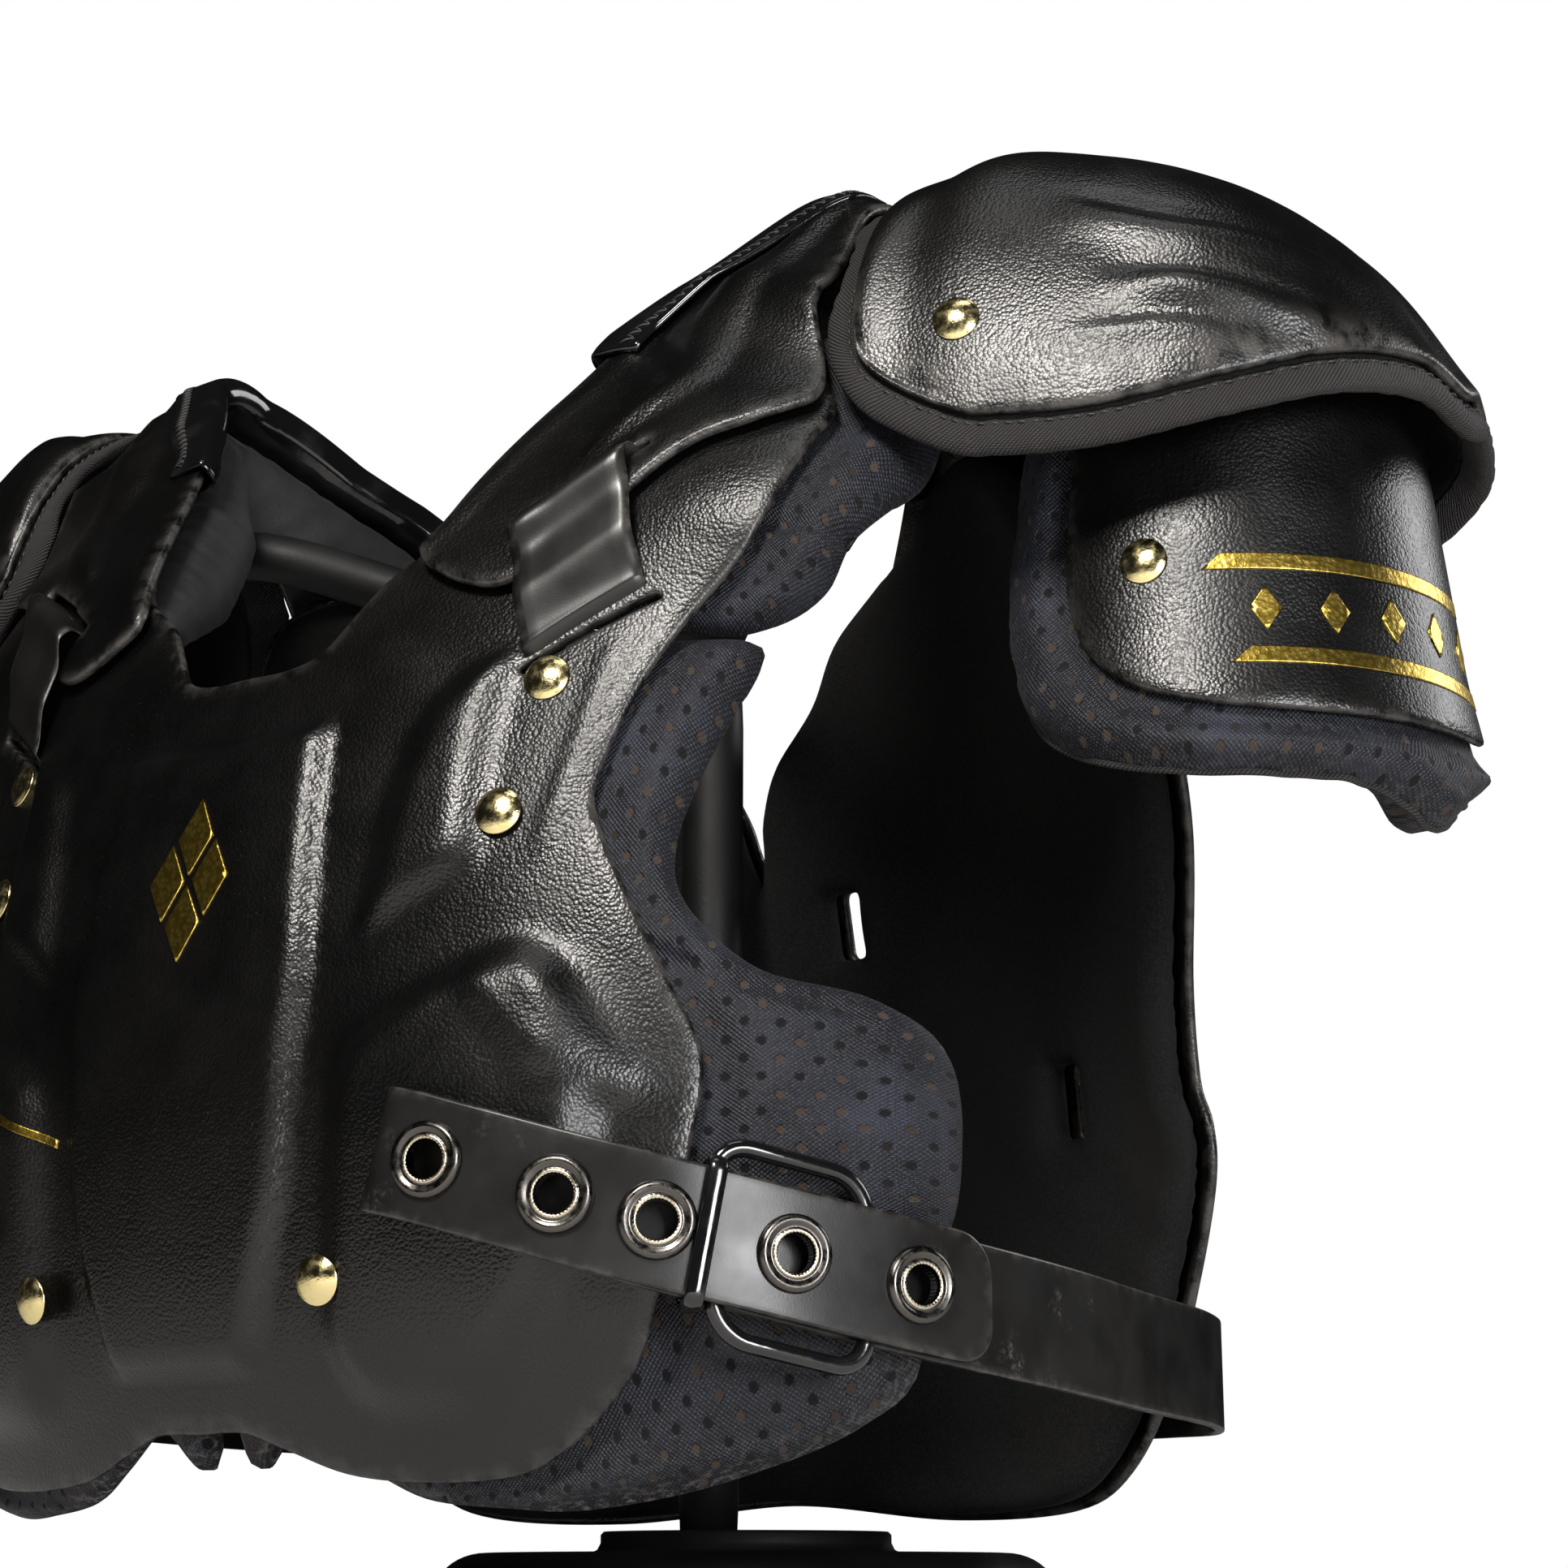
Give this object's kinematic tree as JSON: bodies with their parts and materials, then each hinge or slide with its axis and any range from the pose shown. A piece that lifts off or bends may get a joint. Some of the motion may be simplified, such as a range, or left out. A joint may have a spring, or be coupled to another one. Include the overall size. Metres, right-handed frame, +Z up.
{
  "type": "football shoulder pads on a stand",
  "caption": "Worn shell of chest, back, shoulder and upper-arm plates over mesh padding, held up by a plain post stand.",
  "frame": {"origin": "underside of the stand's foot plate, on the midline, below the middle of the torso", "axes": "+Z up, -Y the way the wearer faces, +X the wearer's left"},
  "size_m": [0.5916, 0.3625, 0.4223],
  "materials": {
    "shell_plastic": "black moulded plastic with a fine pebble grain, semi-gloss",
    "pad_mesh": "navy-black knitted mesh over foam, small oval holes",
    "back_liner": "smooth brushed charcoal cloth",
    "bound_liner": "black twill with a bound, stitched edge",
    "roll_cloth": "smooth black cloth gathered over foam",
    "gloss_trim": "glossy black strip with zig-zag stitching",
    "strap_web": "smooth satin black elastic webbing",
    "coated_wire": "glossy black coating on wire",
    "brass_rivet": "bright polished brass dome",
    "eyelet_metal": "dark gunmetal, bright at the inner edge",
    "stand_paint": "matte black paint"
  },
  "bodies": {
    "root": {"arch_strap_l": "strap_web", "arch_strap_r": "strap_web", "back_pad": "back_liner", "back_plate": "shell_plastic", "chest_pad_l": "pad_mesh", "chest_pad_r": "pad_mesh", "collar_pad_l": "pad_mesh", "collar_pad_r": "pad_mesh", "cup_l": "shell_plastic", "cup_pad_l": "pad_mesh", "cup_pad_r": "pad_mesh", "cup_r": "shell_plastic", "epaulet_l": "shell_plastic", "epaulet_pad_l": "bound_liner", "epaulet_pad_r": "bound_liner", "epaulet_r": "shell_plastic", "eyelet_l1": "eyelet_metal", "eyelet_l2": "eyelet_metal", "eyelet_l3": "eyelet_metal", "eyelet_l4": "eyelet_metal", "eyelet_l5": "eyelet_metal", "eyelet_r1": "eyelet_metal", "eyelet_r2": "eyelet_metal", "eyelet_r3": "eyelet_metal", "eyelet_r4": "eyelet_metal", "eyelet_r5": "eyelet_metal", "front_plate": "shell_plastic", "neck_roll_l": "roll_cloth", "neck_roll_r": "roll_cloth", "neck_trim_l": "gloss_trim", "neck_trim_r": "gloss_trim", "rivet_cup_l": "brass_rivet", "rivet_cup_r": "brass_rivet", "rivet_epaulet_l": "brass_rivet", "rivet_epaulet_r": "brass_rivet", "rivet_lower_l": "brass_rivet", "rivet_lower_r": "brass_rivet", "rivet_middle_l": "brass_rivet", "rivet_middle_r": "brass_rivet", "rivet_upper_l": "brass_rivet", "rivet_upper_r": "brass_rivet", "shoulder_arch_l": "shell_plastic", "shoulder_arch_r": "shell_plastic", "side_strap_l": "strap_web", "side_strap_r": "strap_web", "stand_base": "stand_paint", "stand_foot": "stand_paint", "stand_post": "stand_paint", "stand_yoke": "stand_paint", "strap_keeper_l": "coated_wire", "strap_keeper_r": "coated_wire", "strap_ring_l": "coated_wire", "strap_ring_r": "coated_wire"}
  },
  "joints": []
}
